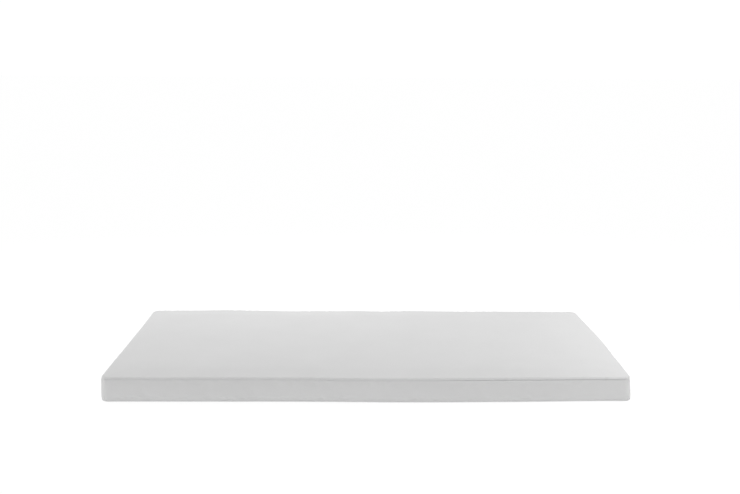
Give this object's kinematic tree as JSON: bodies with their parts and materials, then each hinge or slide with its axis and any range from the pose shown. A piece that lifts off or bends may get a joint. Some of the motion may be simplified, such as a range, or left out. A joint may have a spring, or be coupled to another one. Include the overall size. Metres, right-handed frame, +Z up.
{
  "type": "memory foam mattress",
  "caption": "Low rectangular foam mattress with a smooth zipped fabric cover over memory foam and support foam, with a sliding zip on its back side.",
  "frame": {"origin": "middle of the underside, on the surface that the mattress lies on", "axes": "+X along the length, +Y across the width towards the zipped side, +Z up"},
  "size_m": [2, 0.9047, 0.1],
  "materials": {
    "cover_fabric": "matte",
    "memory_foam": "matte",
    "support_foam": "matte",
    "glue": "satin",
    "stockinette": "matte",
    "thread": "satin",
    "zip_tape": "matte",
    "zip_nylon": "satin",
    "zip_metal": "satin",
    "label_satin": "satin"
  },
  "bodies": {
    "mattress": {"memory_foam_layer": "memory_foam", "glue_film": "glue", "support_foam_core": "support_foam", "inner_sleeve": "stockinette", "sleeve_end_seams": "thread", "top_panel": "cover_fabric", "bottom_panel": "cover_fabric", "border_strip": "cover_fabric", "zip_panel_upper": "cover_fabric", "zip_panel_lower": "cover_fabric", "top_overlock": "thread", "bottom_overlock": "thread", "side_seam_threads": "thread", "zip_tape_upper": "zip_tape", "zip_tape_lower": "zip_tape", "zip_teeth_upper": "zip_nylon", "zip_teeth_lower": "zip_nylon", "zip_top_stops": "zip_metal", "zip_bottom_stop": "zip_metal", "zip_stitching": "thread", "care_label": "label_satin"},
    "zip_slider": {"zip_slider": "zip_metal"},
    "pull_tab": {"pull_tab": "zip_metal"}
  },
  "joints": [
    {"name": "zip_slide", "type": "slide", "parent": "mattress", "child": "zip_slider", "axis": [-1, 0, 0], "range_m": [0, 1.777], "deforming": ["zip_teeth_upper", "zip_teeth_lower", "zip_tape_upper", "zip_tape_lower"]},
    {"name": "pull_tab_swing", "type": "hinge", "parent": "zip_slider", "child": "pull_tab", "pos_m": [0.889, 0.4526, 0.05], "axis": [0, 0, -1], "range_deg": [0, 170]}
  ]
}
